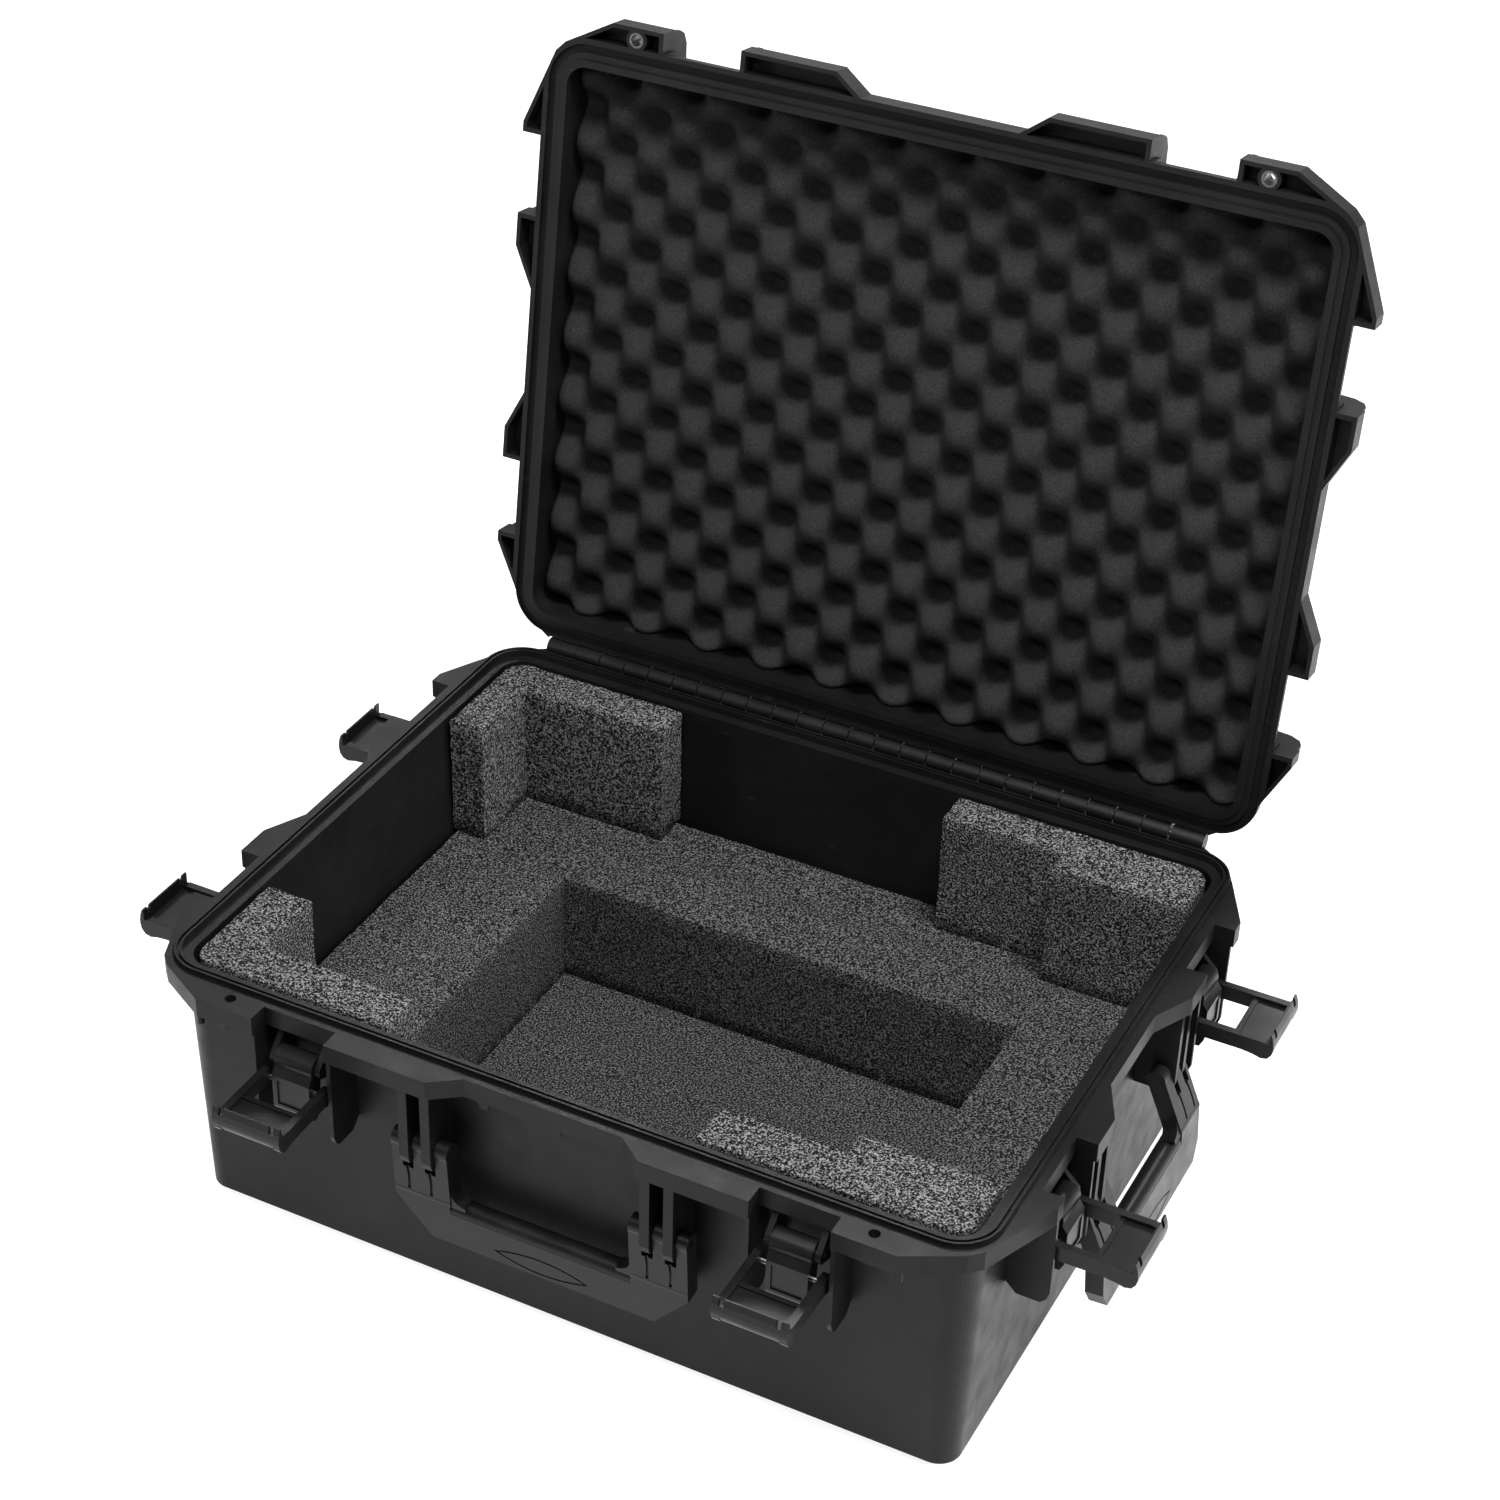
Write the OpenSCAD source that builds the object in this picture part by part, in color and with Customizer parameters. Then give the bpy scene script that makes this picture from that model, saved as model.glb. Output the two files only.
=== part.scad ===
// Hard equipment case with a hinged lid, six claw latches, three swing handles and a foam lining.
// Millimetres, +Z up. The front faces -Y, the hinge is on +Y, the origin is the middle of the underside.
// The lid stands open, the claws are swung down and the handles hang, so the case is ready to be packed.

/* [Case] */
// Width between the centrelines of the sealing ridge
ridge_w = 600; // [580:2:640]
// Depth between the centrelines of the sealing ridge
ridge_d = 455; // [455:1:475]
// Height of the base from its underside to the flange land
base_h = 210; // [200:1:225]
// Depth of the lid from its rim to its top
lid_h = 60; // [56:1:80]
// Wall thickness of both shells
wall = 5; // [4:0.5:6]
// Floor thickness of both shells
floor_t = 4; // [3:0.5:6]
// Inward slope of each side wall from top to bottom
draft = 6.5; // [4:0.5:8]
// Angle between the closed lid and the open lid
lid_open = 98.3; // [90:0.1:105]

/* [Flange] */
// Reach of the flange land beyond the ridge line
land_v = 9.5; // [9:0.5:10]
// Reach of the protecting pads beyond the ridge line
pad_v = 24.5; // [23:0.5:26]
// Thickness of the flange plate
plate_t = 4.5; // [3.5:0.5:5]
// Depth of the skirt below the flange land
skirt_h = 14.5; // [13:0.5:17]
// Thickness of the skirt and of the small webs
web = 3; // [2.5:0.5:3.5]
// Depth of the hollow pads of the lid
lid_pad_h = 17; // [15:1:19]
// Height of the sealing ridge
ridge_h = 3; // [2.5:0.5:3]

/* [Hinge] */
// Distance of the hinge axis behind the ridge line
hinge_v = 13.5; // [13:0.5:14.5]
// Radius of the hinge knuckles
knuckle_r = 6.5; // [6:0.25:6.75]
// Length of one knuckle
knuckle_pitch = 21.27; // [20:0.01:22]
// Radius of the hinge pin
hinge_pin_r = 2.5; // [2:0.25:3]

/* [Latches] */
// Distance of the front latches from the middle of the front
front_latch = 183; // [178:1:188]
// Distance of the side latches from the middle of the side
side_latch = 127; // [125:1:128]
// Half width of a latch bay
bay_half = 28; // [28:0.5:28.5]
// Half width of the lever
lever_half = 14.5; // [13:0.5:14.5]
// Half width of the claw
claw_half = 26; // [25:0.5:26]
// Radius of the latch pins
latch_pin_r = 2; // [1.5:0.25:2.25]

/* [Handles] */
// Half width of the front handle
front_handle = 110; // [108:0.5:112]
// Half width of a side handle
side_handle = 89; // [87:0.5:90]
// Outward lean of the side handles
side_lean = 23; // [15:1:25]
// Radius of the handle grip
grip_r = 7.5; // [7:0.25:8]
// Radius of the handle pins
handle_pin_r = 2.5; // [2:0.25:3]

/* [Foam] */
// Thickness of the floor pad
pad_foam_t = 12; // [10:1:16]
// Height of the pocketed foam slab above the floor
slab_top = 107; // [90:1:120]
// Height of the corner blocks above the underside
block_top = 208; // [200:1:208]
// Depth of the lid foam peaks below the lid rim
lid_foam_gap = 10; // [8:1:16]

/* [Hidden] */
black = [0.09, 0.09, 0.1];
soft_black = [0.14, 0.14, 0.15];
foam_grey = [0.22, 0.22, 0.23];
steel = [0.72, 0.73, 0.74];
$fn = 48;
eps = 0.02;
rx = ridge_w / 2;
ry = ridge_d / 2;
corner_r = 28;
// body walls, measured inward from the ridge line
body_in = 5;
edge_r = 9;
inner_edge_r = 7;
lid_draft = 5;
land_z = base_h;
ridge_half = 2.5;
ridge_line = 1.5;
groove_w = 1;
step_h = 2.5;
step_in = 10;
skirt_z = land_z - skirt_h;
run = 0.06;
// hinge
axis_y = ry + hinge_v;
axis_z = land_z + 2;
knuckles = 23;
knuckle_gap = 1;
hinge_half = knuckles * knuckle_pitch / 2;
hinge_end = hinge_half + 26;
hinge_clear = knuckle_r + 1.6;
tongue_in = 13;
// lid, drawn closed
rim_z = land_z + 0.6;
ledge_t = 3.8;
lid_in = 2.5;
lid_land_v = land_v - lid_in;
lip_h = 2.4;
lip_w = 5;
lip_in = 13.2;
seal_half = 3;
seal_wall = 0.9;
seal_top = rim_z + 6;
lid_top = rim_z + lid_h;
// padlock holes
lock_x = 235;
lock_v = 13;
lock_r = 4;
eyelet_r = 5.5;
lock_boss_r = 8;
lock_tube_r = 8.5;
lock_tube_drop = 4.5;
peg_r = 2.5;
// latch pivots: outward from the ridge line, then height
lever_v = 12.5;
lever_z = land_z - 33;
barrel_r = 8.5;
ear_r = 6;
claw_v = 18.5;
claw_z = land_z - 49.5;
lug_in = 15.5;
lug_t = 4;
arm_in = 20.5;
hook_u = 58;
hook_under = 54.4;
hook_lip = 14.1;
hook_t = 3;
hook_r = 10.6;
hook_c = [47.4, 3];
arm_r = 6.5;
plate_u = 28;
cheek_bottom = land_z - 89;
// handle pivot: outward from the ridge line, then height
pivot_v = 11.5;
pivot_z = land_z - 65.5;
finger_r = 7;
rib_gap = 0.7;
root_drop = 20;
leg_t = 13;
bend_drop = 42;
grip_drop = 8.5;
grip_in = 1.2;
grip_step = 0.5;
// outlined oval on the grip plate
oval_r = 95;
oval_half = 7;
oval_cut = 0.9;
bend_r = leg_t / 2 + 0.2;
fillet_r = 11;
front_rest = -4;
// tabs under the skirt of the front recess
tab_x = [-43, 10, 60];
// pocket in the foam slab: near left corner, width and depth
pocket_at = [-180, -125];
pocket_w = 370;
pocket_d = 229;
// each handle: half width, leg width, the two ribs measured inward from its side, rib width,
// drop of the grip plate below the bend, its corner cut, and the inward bend
front_set = [front_handle, 42.5, [29, 12], 7, 36.5, [26, 30], 0];
side_set = [side_handle, 35, [21.5, 6.5], 5, 44, [8, 14], 19];

function half_outline() = [
    [58, -ry - land_v], [78, -ry - pad_v],
    [front_latch - bay_half, -ry - pad_v], [front_latch - bay_half, -ry - land_v],
    [front_latch + bay_half, -ry - land_v], [front_latch + bay_half, -ry - pad_v],
    [rx - 45, -ry - pad_v], [rx - 7, -ry - 3.7], [rx + 1, -ry + 4.5], [rx + pad_v, -ry + 62],
    [rx + pad_v, -side_latch - bay_half], [rx + land_v, -side_latch - bay_half],
    [rx + land_v, -side_latch + bay_half], [rx + pad_v, -side_latch + bay_half],
    [rx + pad_v, -71], [rx + land_v, -40], [rx + land_v, 40], [rx + pad_v, 71],
    [rx + pad_v, side_latch - bay_half], [rx + land_v, side_latch - bay_half],
    [rx + land_v, side_latch + bay_half], [rx + pad_v, side_latch + bay_half],
    [rx + pad_v, ry - 61.5], [rx - 1, ry - 11.5], [rx - 9, ry - 3.5], [rx - 29, ry + 10.5]];

function mirrored(p) = [for (i = [len(p) - 1:-1:0]) [-p[i][0], p[i][1]]];

function unit(a, b) = (b - a) / norm(b - a);

// moves every edge of a counter-clockwise outline inward by d
function inset(p, d) = [for (i = [0:len(p) - 1])
    let (n = len(p), u = unit(p[(i + n - 1) % n], p[i]), w = unit(p[i], p[(i + 1) % n]))
    p[i] + d * [-u[1] - w[1], u[0] + w[0]] / (1 + u * w)];

function outline(d) = inset(concat(half_outline(), mirrored(half_outline())), d);

module rounded(hx, hy, r) {
    square([2 * hx - 2 * r, 2 * hy], center = true);
    square([2 * hx, 2 * hy - 2 * r], center = true);
    for (sx = [-1, 1])
        for (sy = [-1, 1])
            translate([sx * (hx - r), sy * (hy - r)]) circle(r);
}

// a plate with rounded corners, reaching v beyond the ridge line
module slab(v, z, h) {
    translate([0, 0, z])
        linear_extrude(h) rounded(rx + v, ry + v, corner_r + v);
}

module band(v0, v1, z, h) {
    difference() {
        slab(v1, z, h);
        slab(v0, z - 1, h + 2);
    }
}

module at_front(c) {
    translate([c, -ry, 0]) children();
}

module at_right(c) {
    translate([rx, c, 0]) rotate([0, 0, 90]) children();
}

module at_left(c) {
    translate([-rx, c, 0]) rotate([0, 0, -90]) children();
}

module at_every_bay() {
    for (s = [-1, 1]) {
        at_front(s * front_latch) children();
        at_right(s * side_latch) children();
        at_left(s * side_latch) children();
    }
}

// a profile drawn as [outward, up] and run along the wall from c0 to c1
module along(c0, c1) {
    translate([c1, 0, 0]) rotate([90, 0, -90]) linear_extrude(c1 - c0) children();
}

module rod(r, c0, c1, v, z) {
    translate([c0, -v, z]) rotate([0, 90, 0]) cylinder(r = r, h = c1 - c0);
}

module body_block(v_top, v_low, z0, z1, edge) {
    hull() {
        slab(v_low - edge, z0, eps);
        slab(v_low, z0 + edge, eps);
        slab(v_top, z1 - eps, eps);
    }
}

// ---- hinge ----

function knuckle_x(i) = (i - knuckles / 2) * knuckle_pitch;

module hinge_rod(r, half) {
    translate([-half, axis_y, axis_z]) rotate([0, 90, 0]) cylinder(r = r, h = 2 * half);
}

module knuckle(x0, x1, z0, z1) {
    translate([x0, axis_y, axis_z]) rotate([0, 90, 0]) cylinder(r = knuckle_r, h = x1 - x0);
    translate([x0, axis_y - tongue_in, z0]) cube([x1 - x0, tongue_in, z1 - z0]);
}

// every second knuckle, starting from the first one
module knuckle_row(first, z0, z1) {
    for (i = [first:2:knuckles - 1])
        knuckle(knuckle_x(i) + knuckle_gap / 2, knuckle_x(i + 1) - knuckle_gap / 2, z0, z1);
}

module hinge_pin() {
    color(steel) hinge_rod(hinge_pin_r, hinge_end - 1);
}

// ---- base ----

module bay_cheeks() {
    for (s = [-1, 1])
        translate([s * (bay_half + web / 2), 0, 0])
            along(-web / 2, web / 2)
                polygon([[-body_in - 3, skirt_z + 4], [pad_v - 2, skirt_z + 4],
                    [pad_v - 2, cheek_bottom + 10], [pad_v - 4, cheek_bottom + 4],
                    [pad_v - 8, cheek_bottom], [0, cheek_bottom],
                    [-body_in - 3, cheek_bottom + 8]]);
}

module lever_lugs() {
    for (s = [-1, 1])
        translate([s * (lug_in + lug_t / 2), 0, 0])
            along(-lug_t / 2, lug_t / 2) {
                translate([lever_v, lever_z]) circle(ear_r);
                polygon([[-body_in - 3, lever_z + 24], [lever_v - 8, lever_z + 17],
                    [lever_v + 4, lever_z + 4.4], [lever_v + 3, lever_z - 5], [-body_in - 3, lever_z - 14]]);
            }
}

module handle_ribs(set) {
    for (s = [-1, 1])
        for (r = set[2])
            translate([s * (set[0] - r), 0, 0])
                along(-set[3] / 2, set[3] / 2)
                    polygon([[-body_in - 3, skirt_z + 4], [pad_v - 3, skirt_z + 4], [pad_v - 3, pivot_z - 8],
                        [pad_v - 4.5, pivot_z - 13], [pad_v - 8, pivot_z - 15.5],
                        [-body_in - 3, pivot_z - 15.5]]);
}

module handle_rods(r, set, c0, c1) {
    rod(r, set[0] - c0, set[0] - c1, pivot_v, pivot_z);
    rod(r, c1 - set[0], c0 - set[0], pivot_v, pivot_z);
}

// small tabs that hang below the skirt of the front recess
module skirt_tabs() {
    for (x = tab_x)
        translate([x, 0, 0]) rotate([90, 0, 0])
            translate([0, 0, ry + land_v - web])
                linear_extrude(web)
                    polygon([[-5, skirt_z + 2], [5, skirt_z + 2], [2.5, skirt_z - 5], [-2.5, skirt_z - 5]]);
}

module sealing_ridge() {
    band(ridge_half - ridge_line, ridge_half, land_z - 1, ridge_h + 1);
    band(-ridge_half, -ridge_half + ridge_line, land_z - 1, ridge_h + 1);
}

module base_flange() {
    translate([0, 0, land_z - plate_t]) linear_extrude(plate_t) polygon(outline(0));
    difference() {
        translate([0, 0, skirt_z]) linear_extrude(skirt_h - 1) polygon(outline(0));
        translate([0, 0, skirt_z - 1]) linear_extrude(skirt_h + 1) polygon(outline(web));
    }
}

module base_shell() {
    color(black) difference() {
        union() {
            difference() {
                union() {
                    body_block(-body_in, -body_in - draft, 0, land_z - 1, edge_r);
                    base_flange();
                    sealing_ridge();
                }
                hinge_rod(hinge_clear, hinge_half);
            }
            knuckle_row(1, skirt_z + 9, land_z);
            for (s = [-1, 1])
                translate([s * (hinge_half + hinge_end) / 2, 0, 0])
                    knuckle((hinge_half - hinge_end) / 2 + knuckle_gap, (hinge_end - hinge_half) / 2,
                        skirt_z + 9, land_z);
            at_every_bay() bay_cheeks();
            at_every_bay() lever_lugs();
            at_front(0) handle_ribs(front_set);
            at_right(0) handle_ribs(side_set);
            at_left(0) handle_ribs(side_set);
            skirt_tabs();
            for (s = [-1, 1]) {
                translate([s * lock_x, -ry - lock_v, skirt_z - lock_tube_drop])
                    cylinder(r = lock_tube_r, h = skirt_h + lock_tube_drop - 1);
                translate([s * (rx - 44), -ry - pad_v + 5, skirt_z - 9]) cylinder(r = peg_r, h = skirt_h);
            }
        }
        body_block(-body_in - wall, -body_in - wall - draft, floor_t, land_z + 1, inner_edge_r);
        slab(-step_in, land_z - step_h, ridge_h + step_h);
        band(-step_in - 1, -ridge_half, land_z - step_h, ridge_h + step_h);
        band(ridge_half + 0.5, ridge_half + 0.5 + groove_w, land_z - 1, 2);
        hinge_rod(hinge_pin_r, hinge_end - 1);
        at_every_bay() rod(latch_pin_r, -lug_in - lug_t - 1, lug_in + lug_t + 1, lever_v, lever_z);
        at_front(0) handle_rods(handle_pin_r, front_set, front_set[1], 0);
        at_right(0) handle_rods(handle_pin_r, side_set, side_set[1], 0);
        at_left(0) handle_rods(handle_pin_r, side_set, side_set[1], 0);
        for (s = [-1, 1])
            translate([s * lock_x, -ry - lock_v, skirt_z - lock_tube_drop - 1])
                cylinder(r = lock_r, h = skirt_h + lock_tube_drop + 2);
    }
}

// ---- lid, drawn closed and then swung open about the hinge ----

module opened() {
    translate([0, axis_y, axis_z]) rotate([-lid_open, 0, 0]) translate([0, -axis_y, -axis_z]) children();
}

module lid_pads() {
    difference() {
        translate([0, 0, rim_z]) linear_extrude(lid_pad_h) polygon(outline(lid_in));
        difference() {
            translate([0, 0, rim_z - 1]) linear_extrude(lid_pad_h - web + 1) polygon(outline(lid_in + web));
            slab(lid_land_v, rim_z - 2, lid_pad_h + 2);
        }
        slab(seal_half + seal_wall / 2, rim_z + ledge_t, lid_pad_h - web - ledge_t);
    }
}

module lid_cheeks() {
    reach = pad_v - lid_in - 2;
    for (s = [-1, 1])
        translate([s * (bay_half + web + web / 2), 0, 0])
            along(-web / 2, web / 2)
                polygon([[-body_in - 3, rim_z], [reach, rim_z], [reach, rim_z + 26],
                    [reach - 3, rim_z + 33], [reach - 11, rim_z + 38], [-body_in - 3, rim_z + 40]]);
}

module lid_closed() {
    difference() {
        union() {
            difference() {
                union() {
                    lid_pads();
                    band(-body_in - 2, seal_half + seal_wall, rim_z + 1, seal_top - rim_z + 1);
                    lid_block(-body_in, -body_in - lid_draft, rim_z + 1, lid_top, edge_r);
                }
                at_every_bay()
                    translate([-bay_half, -pad_v - 2, rim_z + ledge_t])
                        cube([2 * bay_half, pad_v + 2 - seal_half - seal_wall, lid_pad_h]);
                hinge_rod(hinge_clear, hinge_end + knuckle_gap);
            }
            knuckle_row(0, axis_z, axis_z + knuckle_r - 0.5);
            at_every_bay() lid_cheeks();
            for (s = [-1, 1])
                translate([s * lock_x, -ry - lock_v, rim_z]) cylinder(r = lock_boss_r, h = lid_pad_h);
        }
        lid_block(-body_in - wall, -body_in - wall - lid_draft, rim_z + 1, lid_top - floor_t, inner_edge_r);
        slab(-step_in, rim_z - 1, 4);
        band(-seal_half, seal_half, rim_z - 1, seal_top - rim_z + 1);
        hinge_rod(hinge_pin_r + run, hinge_end + 1);
        for (s = [-1, 1])
            translate([s * lock_x, -ry - lock_v, rim_z - 1]) cylinder(r = eyelet_r, h = lid_pad_h + 2);
    }
    band(-lip_in, -lip_in + lip_w, rim_z - lip_h, lip_h + ledge_t);
}

module lid_block(v_rim, v_top, z0, z1, edge) {
    hull() {
        slab(v_rim, z0, eps);
        slab(v_top, z1 - edge - eps, eps);
        slab(v_top - edge, z1 - eps, eps);
    }
}

module lid_shell() {
    color(black) opened() lid_closed();
}

module gasket_seal() {
    seal_low = land_z + ridge_h + 0.4;
    color(soft_black) opened() band(-seal_half, seal_half, seal_low, seal_top - seal_low);
}

module padlock_eyelets() {
    color(steel) opened()
        for (s = [-1, 1])
            translate([s * lock_x, -ry - lock_v, rim_z])
                difference() {
                    cylinder(r = eyelet_r, h = lid_pad_h);
                    translate([0, 0, -1]) cylinder(r = lock_r, h = lid_pad_h + 2);
                }
}

// ---- latches ----

module latch_lever() {
    color(black) difference() {
        union() {
            rod(barrel_r, -lever_half, lever_half, lever_v, lever_z);
            along(-lever_half, lever_half)
                translate([lever_v, lever_z])
                    polygon([[4, 3], [12, -9], [12, -34], [9, -40], [4, -40], [0, -28], [-2, -12], [-4, 0]]);
        }
        translate([-lever_half + 3.5, -lever_v - 14, lever_z - 32])
            cube([2 * lever_half - 7, 3.2, 20]);
        rod(latch_pin_r + run, -lever_half - 1, lever_half + 1, lever_v, lever_z);
        rod(latch_pin_r, -lever_half - 1, lever_half + 1, claw_v, claw_z);
    }
}

// the curled bar that grips the lid ledge
module hook_profile() {
    difference() {
        translate(hook_c) circle(hook_r);
        translate(hook_c) circle(hook_r - hook_t);
        translate(hook_c - [2 * hook_r, hook_r + 1]) square(2 * hook_r + 2);
        translate([hook_c[0] - 1, hook_c[1]]) square(2 * hook_r);
    }
    polygon([[hook_under, hook_c[1] - 1], [hook_u, hook_c[1] - 1], [hook_u, hook_c[1] + 2],
        [hook_u - 0.7, 9.5], [hook_u - 2.2, hook_lip], [hook_under, hook_lip]]);
}

module arm_profile() {
    circle(arm_r);
    polygon([[0, arm_r], [hook_under - 3, arm_r], [hook_under, 5.5], [hook_u - 0.3, 4.5], [hook_u, 2],
        [hook_u - 0.8, -2.5], [hook_u - 3.5, -6.2], [hook_u - 8, -hook_r + 3.2], [44, -5.8], [36, -5],
        [6, -5], [-3, -5.8]]);
}

module latch_claw() {
    color(black) translate([0, -claw_v, claw_z]) difference() {
        union() {
            along(-claw_half, -arm_in) arm_profile();
            along(arm_in, claw_half) arm_profile();
            along(-claw_half, claw_half) hook_profile();
            along(-arm_in - 1, arm_in + 1) {
                translate([plate_u, 0.3]) square([hook_under + 1 - plate_u, 3]);
                translate([plate_u, -4]) square([3.5, 8.5]);
            }
        }
        for (s = [-1, 1])
            translate([s * 19.5 - 1.75, -hook_u - 1, 8.5]) cube([3.5, 6, 6]);
        rod(latch_pin_r + run, -claw_half - 1, claw_half + 1, 0, 0);
    }
}

module lever_pin() {
    color(steel) rod(latch_pin_r, -lug_in - lug_t, lug_in + lug_t, lever_v, lever_z);
}

module claw_pin() {
    color(steel) rod(latch_pin_r, -claw_half, claw_half, claw_v, claw_z);
}

// ---- handles ----

// the lower part of a handle, drawn from the bend downward
module grip_plate(half, drop, cut) {
    polygon([[-half, 0], [-half, -drop + cut[1]], [-half + cut[0], -drop], [half - cut[0], -drop],
        [half, -drop + cut[1]], [half, 0]]);
}

// a pointed oval of the given half height
module oval(h) {
    intersection() {
        translate([0, h - oval_r]) circle(oval_r, $fn = 96);
        translate([0, oval_r - h]) circle(oval_r, $fn = 96);
    }
}

module handle_grip(half, leg, drop, cut) {
    inner = half - leg + grip_step;
    difference() {
        translate([0, leg_t / 2, 0]) rotate([90, 0, 0]) linear_extrude(leg_t) grip_plate(half, drop, cut);
        translate([-inner, -leg_t, -grip_drop]) cube([2 * inner, 2 * leg_t, grip_drop + 1]);
        translate([-inner, leg_t / 2 - 5, -drop - 1]) cube([2 * inner, leg_t, drop - grip_drop + 1]);
        translate([0, oval_cut - leg_t / 2, -drop + 9.5]) rotate([90, 0, 0]) linear_extrude(3)
            difference() {
                oval(oval_half);
                oval(oval_half - 1.3);
            }
    }
    rod(grip_r, -inner - 2, inner + 2, -grip_in, -grip_drop);
}

// the shallow curved groove that runs down from a rib slot
module leg_groove(x) {
    translate([x, 1.2 - leg_t / 2, -root_drop - 10]) rotate([90, 0, 0]) linear_extrude(3)
        intersection() {
            difference() {
                translate([-60, 0]) circle(61.1, $fn = 96);
                translate([-60, 0]) circle(58.9, $fn = 96);
            }
            translate([-3, -10]) square([6, 24]);
        }
}

module handle_leg(half, leg, ribs, w) {
    fingers = [[leg, ribs[0] + w / 2 + rib_gap], [ribs[0] - w / 2 - rib_gap, ribs[1] + w / 2 + rib_gap],
        [ribs[1] - w / 2 - rib_gap, 0]];
    translate([half - leg, -leg_t / 2, -bend_drop]) cube([leg, leg_t, bend_drop - root_drop]);
    rod(bend_r, half - leg, half, 0, -bend_drop);
    translate([half - leg, leg_t / 2 - 1, 0]) rotate([90, 0, 0]) linear_extrude(leg_t - 2)
        difference() {
            translate([-fillet_r, -bend_drop - 3]) square([fillet_r + 1, fillet_r + 3]);
            translate([-fillet_r, fillet_r - bend_drop]) circle(fillet_r);
        }
    for (f = fingers)
        translate([half - (f[0] + f[1]) / 2, 0, 0])
            along((f[1] - f[0]) / 2, (f[0] - f[1]) / 2) {
                circle(finger_r);
                translate([-leg_t / 2, -root_drop - 1]) square([leg_t, root_drop + 1]);
            }
}

module handle(set, lean) {
    half = set[0];
    leg = set[1];
    color(black) translate([0, -pivot_v, pivot_z]) rotate([-lean, 0, 0]) difference() {
        union() {
            for (s = [0, 1])
                mirror([s, 0, 0]) handle_leg(half, leg, set[2], set[3]);
            translate([0, 0, -bend_drop]) rotate([set[6], 0, 0]) handle_grip(half, leg, set[4], set[5]);
        }
        for (s = [-1, 1])
            for (r = set[2])
                leg_groove(s * (half - r));
        rod(handle_pin_r + run, half - leg + 2, half + 1, 0, 0);
        rod(handle_pin_r + run, -half - 1, -half + leg - 2, 0, 0);
    }
}

module handle_pins(set) {
    color(steel) handle_rods(handle_pin_r, set, set[1] - 2.5, 1);
}

// ---- foam ----

module foam_prism(v, z0, z1) {
    slab(v, z0, z1 - z0);
}

module floor_foam() {
    color(foam_grey) foam_prism(-24, floor_t, floor_t + pad_foam_t);
}

module pocket_foam() {
    color(foam_grey) difference() {
        foam_prism(-17, floor_t + pad_foam_t, slab_top);
        translate([pocket_at[0], pocket_at[1], floor_t]) cube([pocket_w, pocket_d, slab_top]);
    }
}

// an L-shaped block of two boxes, trimmed to the rounded inside of the base
module corner_foam(x0, y0, w, d, x1, y1, w1, d1) {
    color(foam_grey) intersection() {
        foam_prism(-14, slab_top, block_top);
        union() {
            translate([x0, y0, slab_top]) cube([w, d, base_h]);
            translate([x1, y1, slab_top]) cube([w1, d1, base_h]);
        }
    }
}

module corner_foam_back_left() {
    corner_foam(-286, 182, 147, 33, -286, 118, 28, 96);
}

module corner_foam_back_right() {
    corner_foam(91, 184, 96, 31, 184, 164, 103, 51);
}

module corner_foam_front_left() {
    corner_foam(-286, -215, 155, 35, -286, -215, 36, 93);
}

module corner_foam_front_right() {
    corner_foam(98, -215, 92, 36, 187, -215, 101, 55);
}

module lid_foam() {
    color(foam_grey) opened()
        lid_block(-12, -body_in - wall - lid_draft - 0.8, rim_z + lid_foam_gap, lid_top - floor_t,
            inner_edge_r + 0.3);
}

base_shell();
lid_shell();
hinge_pin();
gasket_seal();
padlock_eyelets();
lid_foam();
floor_foam();
pocket_foam();
corner_foam_back_left();
corner_foam_back_right();
corner_foam_front_left();
corner_foam_front_right();
at_front(0) handle(front_set, front_rest);  // handle_front
at_right(0) handle(side_set, side_lean);  // handle_right
at_left(0) handle(side_set, side_lean);  // handle_left
at_front(0) handle_pins(front_set);  // handle_pins_front
at_right(0) handle_pins(side_set);  // handle_pins_right
at_left(0) handle_pins(side_set);  // handle_pins_left
at_front(-front_latch) latch_lever();  // latch_lever_front_left
at_front(front_latch) latch_lever();  // latch_lever_front_right
at_right(-side_latch) latch_lever();  // latch_lever_right_front
at_right(side_latch) latch_lever();  // latch_lever_right_back
at_left(-side_latch) latch_lever();  // latch_lever_left_front
at_left(side_latch) latch_lever();  // latch_lever_left_back
at_front(-front_latch) latch_claw();  // latch_claw_front_left
at_front(front_latch) latch_claw();  // latch_claw_front_right
at_right(-side_latch) latch_claw();  // latch_claw_right_front
at_right(side_latch) latch_claw();  // latch_claw_right_back
at_left(-side_latch) latch_claw();  // latch_claw_left_front
at_left(side_latch) latch_claw();  // latch_claw_left_back
at_front(-front_latch) lever_pin();  // lever_pin_front_left
at_front(front_latch) lever_pin();  // lever_pin_front_right
at_right(-side_latch) lever_pin();  // lever_pin_right_front
at_right(side_latch) lever_pin();  // lever_pin_right_back
at_left(-side_latch) lever_pin();  // lever_pin_left_front
at_left(side_latch) lever_pin();  // lever_pin_left_back
at_front(-front_latch) claw_pin();  // claw_pin_front_left
at_front(front_latch) claw_pin();  // claw_pin_front_right
at_right(-side_latch) claw_pin();  // claw_pin_right_front
at_right(side_latch) claw_pin();  // claw_pin_right_back
at_left(-side_latch) claw_pin();  // claw_pin_left_front
at_left(side_latch) claw_pin();  // claw_pin_left_back
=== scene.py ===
import math
import bpy
from mathutils import Matrix, Vector, noise
from mathutils.geometry import tessellate_polygon


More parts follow.
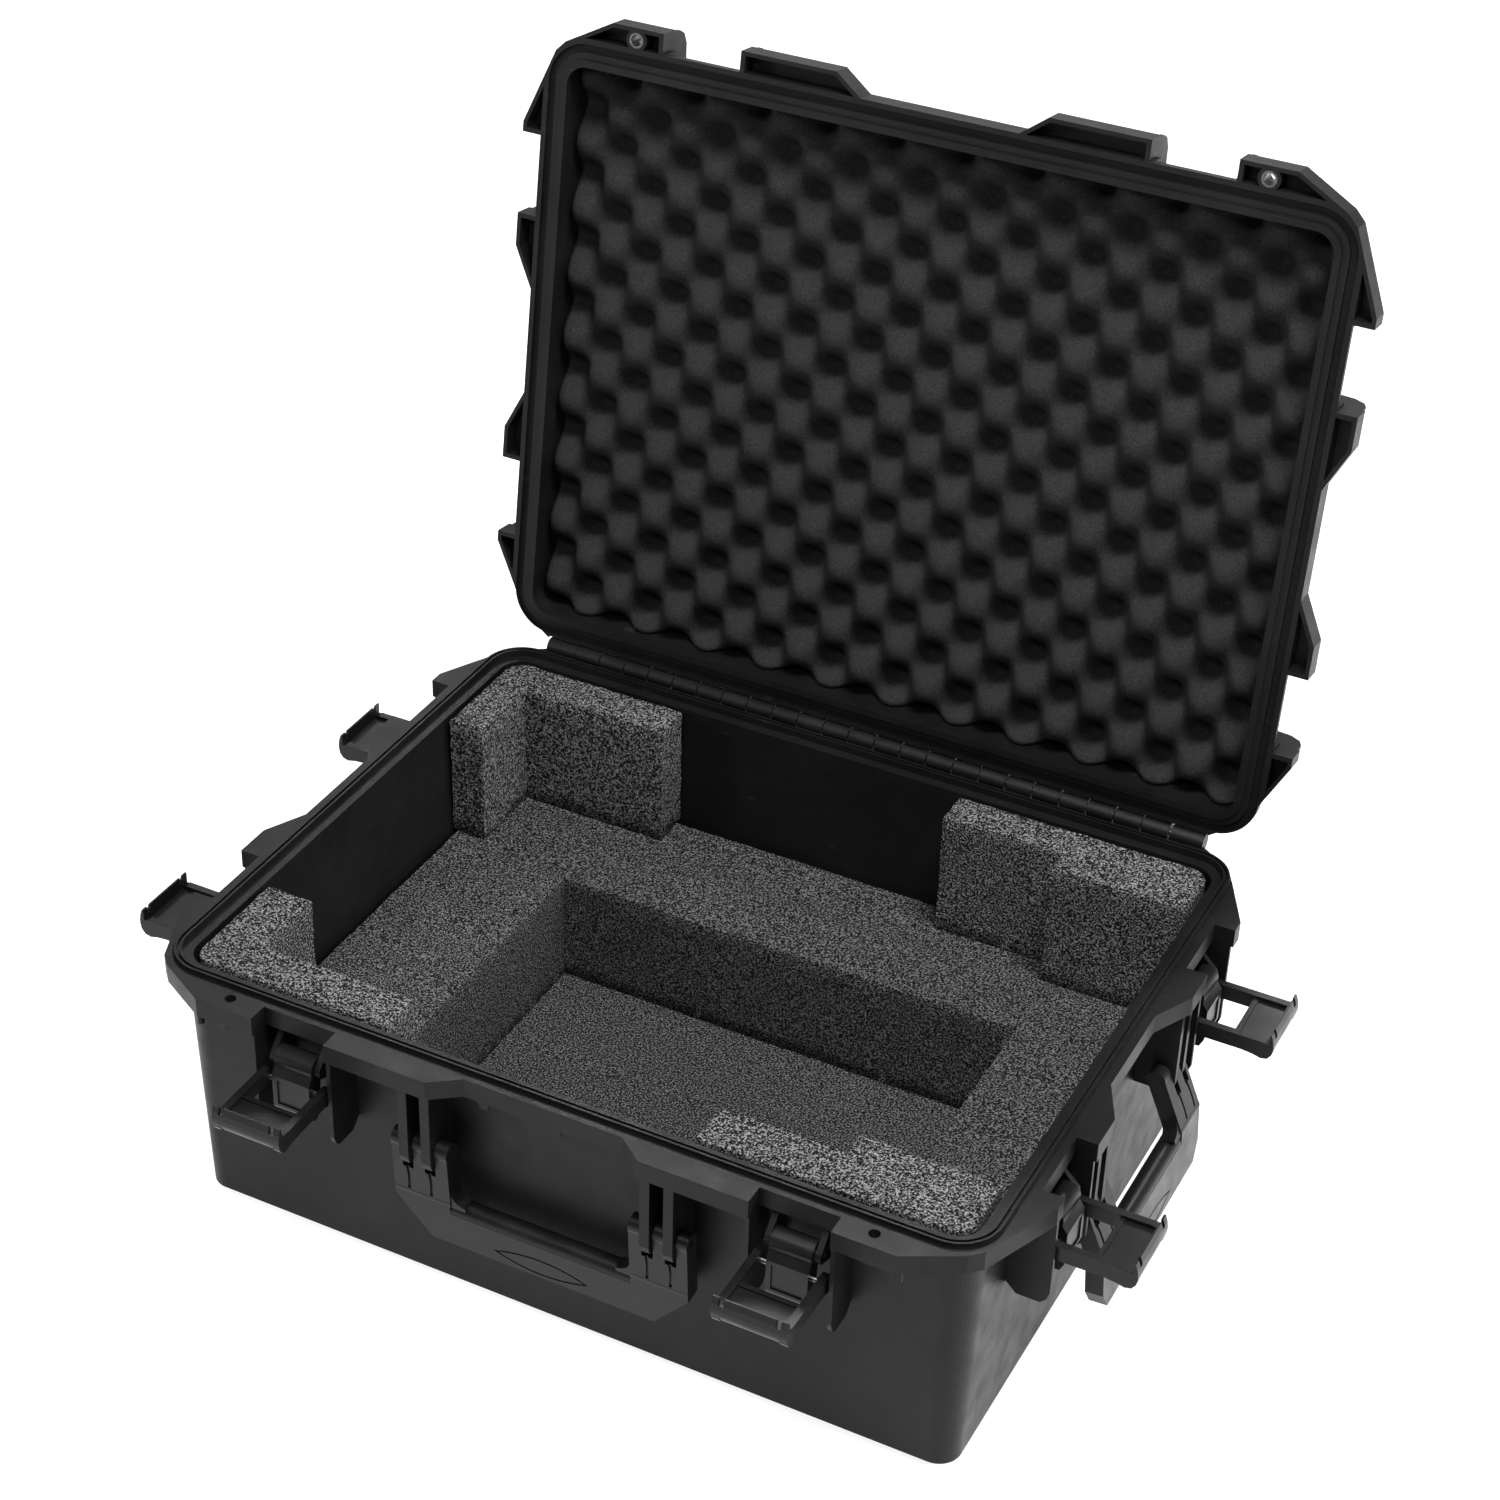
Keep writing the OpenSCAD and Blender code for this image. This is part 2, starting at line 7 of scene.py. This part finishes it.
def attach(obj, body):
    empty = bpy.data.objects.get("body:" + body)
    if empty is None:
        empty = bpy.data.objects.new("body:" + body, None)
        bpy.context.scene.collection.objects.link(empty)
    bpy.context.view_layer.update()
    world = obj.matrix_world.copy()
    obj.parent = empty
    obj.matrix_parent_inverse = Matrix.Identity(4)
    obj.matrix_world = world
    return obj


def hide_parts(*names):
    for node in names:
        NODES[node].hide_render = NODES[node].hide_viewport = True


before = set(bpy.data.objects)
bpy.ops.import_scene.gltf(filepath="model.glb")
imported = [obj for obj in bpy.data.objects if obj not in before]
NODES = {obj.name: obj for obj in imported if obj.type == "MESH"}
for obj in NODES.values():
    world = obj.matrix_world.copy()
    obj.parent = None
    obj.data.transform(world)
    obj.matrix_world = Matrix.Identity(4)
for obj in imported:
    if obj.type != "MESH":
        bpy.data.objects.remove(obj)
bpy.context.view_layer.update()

MM = 0.001


# ---------------------------------------------------------------- materials

class Material:
    """A Principled material and short helpers for its node tree."""

    def __init__(self, name, rough, metallic=0.0, shine=0.5):
        self.mat = bpy.data.materials.new(name)
        self.mat.use_nodes = True
        self.tree = self.mat.node_tree
        self.bsdf = self.tree.nodes["Principled BSDF"]
        self.bsdf.inputs["Roughness"].default_value = rough
        self.bsdf.inputs["Metallic"].default_value = metallic
        self.bsdf.inputs["Specular IOR Level"].default_value = shine
        self.place = self.tree.nodes.new("ShaderNodeTexCoord").outputs["Object"]

    def link(self, a, b):
        self.tree.links.new(a, b)

    def stretch(self, scale):
        node = self.tree.nodes.new("ShaderNodeMapping")
        node.inputs["Scale"].default_value = scale
        self.link(self.place, node.inputs["Vector"])
        return node.outputs["Vector"]

    def noise(self, scale, detail=2.0, vector=None):
        node = self.tree.nodes.new("ShaderNodeTexNoise")
        node.inputs["Scale"].default_value = scale
        node.inputs["Detail"].default_value = detail
        self.link(vector or self.place, node.inputs["Vector"])
        return node.outputs["Fac"]

    def cells(self, scale):
        node = self.tree.nodes.new("ShaderNodeTexVoronoi")
        node.inputs["Scale"].default_value = scale
        self.link(self.place, node.inputs["Vector"])
        return node.outputs["Distance"]

    def ramp(self, value, stops):
        node = self.tree.nodes.new("ShaderNodeValToRGB")
        ends = node.color_ramp.elements
        for end, (place, grey) in zip(ends, stops):
            end.position = place
            end.color = (grey, grey, grey, 1)
        self.link(value, node.inputs["Fac"])
        return node.outputs["Color"]

    def blend(self, amount, under, over):
        """Mixes the plain colour over on top of under. A Mix node's colour sockets go by number."""
        node = self.tree.nodes.new("ShaderNodeMix")
        node.data_type = "RGBA"
        self.link(amount, node.inputs[0])
        self.link(under, node.inputs[6])
        node.inputs[7].default_value = over
        return node.outputs[2]

    def bump(self, height, depth, strength, below=None):
        node = self.tree.nodes.new("ShaderNodeBump")
        node.inputs["Distance"].default_value = depth
        node.inputs["Strength"].default_value = strength
        self.link(height, node.inputs["Height"])
        if below:
            self.link(below, node.inputs["Normal"])
        return node.outputs["Normal"]

    def finish(self, colour, normal, rough=None):
        self.link(colour, self.bsdf.inputs["Base Color"])
        self.link(normal, self.bsdf.inputs["Normal"])
        if rough:
            self.link(rough, self.bsdf.inputs["Roughness"])
        return self.mat


def moulded_plastic(name, dark, light, rough, grain, shine):
    """Black moulded plastic: cloudy tone, fine grain and a few faint rubbed scuffs."""
    m = Material(name, rough, shine=shine)
    scuffs = m.ramp(m.noise(55, 5, m.stretch((1, 1, 4))), [(0.66, 0.0), (0.8, 0.35)])
    cloudy = m.ramp(m.noise(14, 4), [(0.35, dark), (0.7, light)])
    colour = m.blend(scuffs, cloudy, (0.03, 0.03, 0.032, 1))
    finish = m.ramp(m.noise(60, 5), [(0.3, rough - 0.05), (0.7, rough + 0.07)])
    fine = m.bump(m.noise(grain, 2), 0.00012, 0.5)
    return m.finish(colour, m.bump(m.noise(45, 2), 0.0006, 0.05, fine), finish)


def brushed_steel(name, dark, light):
    """Blackened steel with fine streaks along the pin."""
    m = Material(name, 0.3, metallic=1.0)
    streaks = m.noise(60, 3, m.stretch((1, 12, 12)))
    colour = m.ramp(streaks, [(0.2, dark), (0.8, light)])
    finish = m.ramp(streaks, [(0.2, 0.22), (0.8, 0.4)])
    return m.finish(colour, m.bump(streaks, 0.0001, 0.3), finish)


def cut_foam(name, dark, light, cell):
    """The open cells of knife-cut foam: pale struts over dark pores."""
    m = Material(name, 0.95, shine=0.1)
    grain = m.noise(cell, 2)
    colour = m.ramp(grain, [(0.46, dark), (0.63, light)])
    pores = m.bump(m.cells(cell * 1.1), 0.0012, 0.8)
    return m.finish(colour, m.bump(grain, 0.0012, 0.9, pores))


def soft_foam(name):
    """The fine, nearly black skin of the lid pad."""
    m = Material(name, 1.0, shine=0.05)
    grain = m.noise(1400, 2)
    colour = m.ramp(grain, [(0.35, 0.005), (0.68, 0.022)])
    return m.finish(colour, m.bump(grain, 0.0005, 0.6))


SHELL = moulded_plastic("case_plastic", 0.003, 0.0048, 0.4, 2600, 0.15)
PART = moulded_plastic("latch_plastic", 0.003, 0.0045, 0.33, 3200, 0.2)
RUBBER = moulded_plastic("seal_rubber", 0.002, 0.004, 0.6, 1800, 0.1)
STEEL = brushed_steel("dark_steel", 0.08, 0.2)
FOAM = cut_foam("slab_foam", 0.003, 0.095, 700)
# the same foam as the slab with a lighter colour: painted light, standing in for the light that falls
# more on the corner block tops than on the deeper, shaded slab
BLOCK_FOAM_PAINTED_LIGHT = cut_foam("block_foam_painted_light", 0.003, 0.14, 700)
EGG_FOAM = soft_foam("egg_foam")

# millimetres of rounding on every edge that turns by more than the angle
EDGE_ROUND = {SHELL: 0.5, PART: 0.9}
ROUND_ABOVE = math.radians(32)


def material_of(node):
    if "foam" in node:
        return FOAM
    if "pin" in node or "eyelet" in node:
        return STEEL
    if "gasket" in node:
        return RUBBER
    if "latch" in node or "handle" in node:
        return PART
    return SHELL


def round_edges(obj, width):
    bevel = obj.modifiers.new("edge", "BEVEL")
    bevel.width = width * MM
    bevel.segments = 2
    bevel.limit_method = "ANGLE"
    bevel.angle_limit = ROUND_ABOVE
    bevel.use_clamp_overlap = False
    bevel.harden_normals = False


for node, obj in NODES.items():
    mat = material_of(node)
    obj.data.materials.clear()
    obj.data.materials.append(mat)
    if mat in EDGE_ROUND:
        round_edges(obj, EDGE_ROUND[mat])


# ---------------------------------------------------------------- foam

# millimetres: unevenness of a cut face, rounding of its edges, spacing of its points along and up
WOBBLE = 0.7
EDGE = 1.1
STEP = 4
RING_GAP = 12
# a foam edge that turns by more than this is shaded as a cut corner
CORNER_ABOVE = math.radians(50)
# the unevenness is the same on every run
noise.seed_set(5)


def new_piece(name, verts, faces, mat, body, node):
    """One smooth foam piece that rides on a body and is seen in place of a node."""
    mesh = bpy.data.meshes.new(name)
    mesh.from_pydata(verts, [], faces)
    mesh.validate()
    mesh.polygons.foreach_set("use_smooth", [True] * len(mesh.polygons))
    mesh.update()
    mesh.materials.append(mat)
    obj = bpy.data.objects.new(name, mesh)
    bpy.context.collection.objects.link(obj)
    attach(obj, body)
    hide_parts(node)
    return obj


def split(points, step):
    """Divides each side of a closed outline into equal pieces of at most one step."""
    out = []
    for i, a in enumerate(points):
        b = points[(i + 1) % len(points)]
        n = max(1, math.ceil(math.dist(a, b) / step))
        out += [(a[0] + (b[0] - a[0]) * k / n, a[1] + (b[1] - a[1]) * k / n) for k in range(n)]
    return out


def offset(points, d):
    """Moves a counter-clockwise outline inward by d."""
    out = []
    for i, p in enumerate(points):
        a, b = Vector(points[i - 1]), Vector(points[(i + 1) % len(points)])
        along = (b - a).normalized()
        out.append((p[0] - along.y * d, p[1] + along.x * d))
    return out


def arc(cx, cy, r, start, turn=90, steps=6):
    angles = [math.radians(start + turn * k / steps) for k in range(steps + 1)]
    return [(cx + r * math.cos(a), cy + r * math.sin(a)) for a in angles]


def roughen(p):
    waves, crumbs = noise.noise_vector(Vector(p) / 9.0), noise.noise_vector(Vector(p) / 3.1)
    return waves * WOBBLE + crumbs * WOBBLE * 0.5


def foam_block(name, node, rings, z0, z1, mat):
    """A knife-cut foam prism: an outer outline and any holes, with soft, slightly uneven edges."""
    verts, faces, tops, lows = [], [], [], []
    heights = [(z0, EDGE), (z0 + EDGE, 0)]
    count = max(1, round((z1 - z0) / RING_GAP))
    heights += [(z0 + EDGE + (z1 - z0 - 2 * EDGE) * k / count, 0) for k in range(1, count + 1)]
    heights += [(z1 - EDGE * 0.3, EDGE * 0.3), (z1, EDGE)]
    for ring in rings:
        ring = split(ring, STEP)
        n, base = len(ring), len(verts)
        for z, d in heights:
            for x, y in offset(ring, d):
                p = Vector((x, y, z))
                verts.append(tuple((p + roughen(p)) * MM))
        for k in range(len(heights) - 1):
            a, b = base + k * n, base + (k + 1) * n
            faces += [(a + i, a + (i + 1) % n, b + (i + 1) % n, b + i) for i in range(n)]
        lows.append(list(range(base, base + n)))
        tops.append(list(range(base + (len(heights) - 1) * n, base + len(heights) * n)))
    for loops, flip in ((tops, False), (lows, True)):
        flat = [v for loop in loops for v in loop]
        for tri in tessellate_polygon([[Vector(verts[v]) for v in loop] for loop in loops]):
            tri = [flat[i] for i in tri]
            a, b, c = (Vector(verts[i]) for i in tri)
            if ((b - a).cross(c - a).z > 0) == flip:
                tri.reverse()
            faces.append(tuple(tri))
    piece = new_piece(name, verts, faces, mat, "base", node)
    sharp = piece.modifiers.new("corner", "EDGE_SPLIT")
    sharp.split_angle = CORNER_ABOVE


def rounded_rect(hx, hy, r):
    """A rectangle of half sizes hx and hy with corners of radius r."""
    return (arc(hx - r, hy - r, r, 0) + arc(r - hx, hy - r, r, 90)
            + arc(r - hx, r - hy, r, 180) + arc(hx - r, r - hy, r, 270))


def corner_block(xa, ya, xb, yb, sx, sy):
    """An L that reaches xa along the case and yb across it, and fills the rounded corner."""
    hx, hy, r = BLOCK_BAY
    start = {(1, 1): 0, (-1, 1): 90, (-1, -1): 180, (1, -1): 270}[(sx, sy)]
    bend = arc(sx * (hx - r), sy * (hy - r), r, start)
    inner = [(xa, sy * hy), (xa, ya), (xb, ya), (xb, yb), (sx * hx, yb)]
    return bend + (inner if sx * sy > 0 else inner[::-1])


# half sizes and corner radius of the space above the slab, the pad and the slab
BLOCK_BAY = (285.7, 213.2, 14)
PAD = (276, 203.5, 6)
SLAB = (282.5, 210, 11)
POCKET = [(-180, -125), (-180, 104), (190, 104), (190, -125)]
PAD_Z = (4.6, 15.8)
SLAB_Z = (16.2, 106.8)
BLOCK_Z = (107.3, 207.7)
# ends of the long and the short arm of each block, and the corner that it fills
BLOCKS = {
    "back_left": (-139, 182, -258, 118, -1, 1),
    "back_right": (91, 184, 184, 164, 1, 1),
    "front_left": (-131, -180, -250, -122, -1, -1),
    "front_right": (98, -179, 187, -160, 1, -1)}
foam_block("floor_pad", "floor_foam", [rounded_rect(*PAD)], *PAD_Z, FOAM)
foam_block("pocket_slab", "pocket_foam", [rounded_rect(*SLAB), POCKET], *SLAB_Z, FOAM)
# the corner blocks use the lighter foam copy: painted light on their tops
for name, ends in BLOCKS.items():
    foam_block("block_" + name, "corner_foam_" + name, [corner_block(*ends)], *BLOCK_Z, BLOCK_FOAM_PAINTED_LIGHT)


# the egg-crate pad of the lid, shaped with the lid closed and then swung open
LID_OPEN = math.radians(-98.3)
HINGE = Vector((0, 241, 212))
RIM_Z = 210.6
# spacing of the bumps along the lid and across it, and the place of one bump
WAVE_X, WAVE_Y = 52.4, 49.8
PHASE_X, PHASE_Y = -15.6, -4.5
# depths of peaks, pits and back below the rim, and how far the pits narrow
PEAK, PIT, BACK, SHARP = 11.5, 40, 54.5, 1.45
GRID = 3.5
CRATE = (287.2, 214.7, 15)
BACK_SHRINK = 0.011
RAGGED = 0.7
EDGE_BAND, EDGE_DROP = 5, 0.09


def opened(p):
    """A point of the closed lid, in millimetres, moved to the open lid, in metres."""
    return (Matrix.Rotation(LID_OPEN, 3, "X") @ (Vector(p) - HINGE) + HINGE) * MM


def crate_depth(x, y):
    wave = math.cos(math.tau * (x - PHASE_X) / WAVE_X) * math.cos(math.tau * (y - PHASE_Y) / WAVE_Y)
    return PEAK + (PIT - PEAK) * ((1 - wave) / 2) ** SHARP


def crate_plan(x, y, shrink):
    """Pulls a grid point in to the rounded corners of the pad."""
    hx, hy, r = CRATE
    ax, ay = abs(x), abs(y)
    cx, cy = hx - r, hy - r
    far = math.hypot(ax - cx, ay - cy)
    if ax > cx and ay > cy and far > r:
        ax, ay = cx + (ax - cx) * r / far, cy + (ay - cy) * r / far
    return math.copysign(ax * shrink, x), math.copysign(ay * shrink, y)


def crate_face(x, y):
    """Depth of the bumpy face, slightly uneven and rounded off at the rim of the pad."""
    edge = min(CRATE[0] - abs(x), CRATE[1] - abs(y))
    uneven = noise.noise(Vector((x, y, 0)) / 11) * RAGGED
    return crate_depth(x, y) + uneven + max(0.0, EDGE_BAND - edge) ** 2 * EDGE_DROP


def egg_crate():
    hx, hy, _ = CRATE
    nx, ny = round(2 * hx / GRID), round(2 * hy / GRID)
    verts, faces = [], []
    for shrink, depth_at in ((1, crate_face), (1 - BACK_SHRINK, lambda x, y: BACK)):
        for j in range(ny + 1):
            for i in range(nx + 1):
                x, y = crate_plan(-hx + 2 * hx * i / nx, -hy + 2 * hy * j / ny, shrink)
                verts.append(tuple(opened((x, y, RIM_Z + depth_at(x, y)))))
    row, sheet = nx + 1, (nx + 1) * (ny + 1)
    for j in range(ny):
        for i in range(nx):
            a = j * row + i
            faces.append((a, a + row, a + row + 1, a + 1))
            b = a + sheet
            faces.append((b, b + 1, b + row + 1, b + row))
    ring = (list(range(nx)) + [j * row + nx for j in range(ny)]
            + [ny * row + i for i in range(nx, 0, -1)] + [j * row for j in range(ny, 0, -1)])
    for a, b in zip(ring, ring[1:] + ring[:1]):
        faces.append((a, b, b + sheet, a + sheet))
    new_piece("lid_egg_crate", verts, faces, EGG_FOAM, "lid", "lid_foam")


egg_crate()


# ---------------------------------------------------------------- stage

FAR = 30
mesh = bpy.data.meshes.new("floor")
mesh.from_pydata([(-FAR, -FAR, 0), (FAR, -FAR, 0), (FAR, FAR, 0), (-FAR, FAR, 0)], [], [(0, 1, 2, 3)])
floor = bpy.data.objects.new("floor", mesh)
bpy.context.collection.objects.link(floor)
pale = Material("floor_white", 0.9)
pale.bsdf.inputs["Base Color"].default_value = (0.3, 0.3, 0.3, 1)
pale.bsdf.inputs["Emission Color"].default_value = (1, 1, 1, 1)
pale.bsdf.inputs["Emission Strength"].default_value = 0.85
floor.data.materials.append(pale.mat)

# the camera stands in front and to the right, above the case, and leans a little
AZIMUTH, ELEVATION, ROLL = (math.radians(a) for a in (25.97, 33.97, 1.89))
STAND = (0.7764, -1.5463, 1.5108)
SENSOR_MM, LENS_MM = 36, 75.144
cam_data = bpy.data.cameras.new("camera")
cam_data.sensor_width = SENSOR_MM
cam_data.lens = LENS_MM
cam_data.clip_end = 200
camera = bpy.data.objects.new("camera", cam_data)
bpy.context.collection.objects.link(camera)
ahead = Vector((-math.sin(AZIMUTH) * math.cos(ELEVATION),
                math.cos(AZIMUTH) * math.cos(ELEVATION),
                -math.sin(ELEVATION)))
right = Vector((math.cos(AZIMUTH), math.sin(AZIMUTH), 0))
up = right.cross(ahead)
leaned_right = right * math.cos(ROLL) + up * math.sin(ROLL)
leaned_up = up * math.cos(ROLL) - right * math.sin(ROLL)
turn = Matrix((leaned_right, leaned_up, -ahead)).transposed().to_4x4()
camera.matrix_world = Matrix.Translation(STAND) @ turn
bpy.context.scene.camera = camera

world = bpy.data.worlds.new("world")
bpy.context.scene.world = world
world.use_nodes = True
background = world.node_tree.nodes["Background"]
background.inputs["Color"].default_value = (1, 1, 1, 1)
background.inputs["Strength"].default_value = 0.2


def area_light(name, place, aim, size, power):
    """A rectangular lamp at a place, turned to face aim."""
    data = bpy.data.lights.new(name, "AREA")
    data.shape = "RECTANGLE"
    data.size, data.size_y = size
    data.energy = power
    obj = bpy.data.objects.new(name, data)
    bpy.context.collection.objects.link(obj)
    obj.location = place
    obj.rotation_euler = (Vector(aim) - Vector(place)).to_track_quat("-Z", "Y").to_euler()


area_light("key_top", (0.7, -0.3, 2.5), (0, 0, 0.2), (0.8, 0.6), 125)
area_light("side_right", (2.3, 0.4, 0.9), (0.3, 0, 0.1), (0.7, 0.8), 70)
area_light("front_left", (-2.2, -1.3, 1.1), (-0.3, -0.2, 0.1), (0.4, 0.9), 30)
area_light("front_top", (0.1, -1.1, 1.7), (0.05, -0.25, 0.2), (0.7, 0.3), 16)
area_light("top_back", (-0.3, 2.0, 2.2), (0, 0.2, 0.2), (2.4, 0.4), 90)

bpy.context.scene.view_settings.view_transform = "Standard"
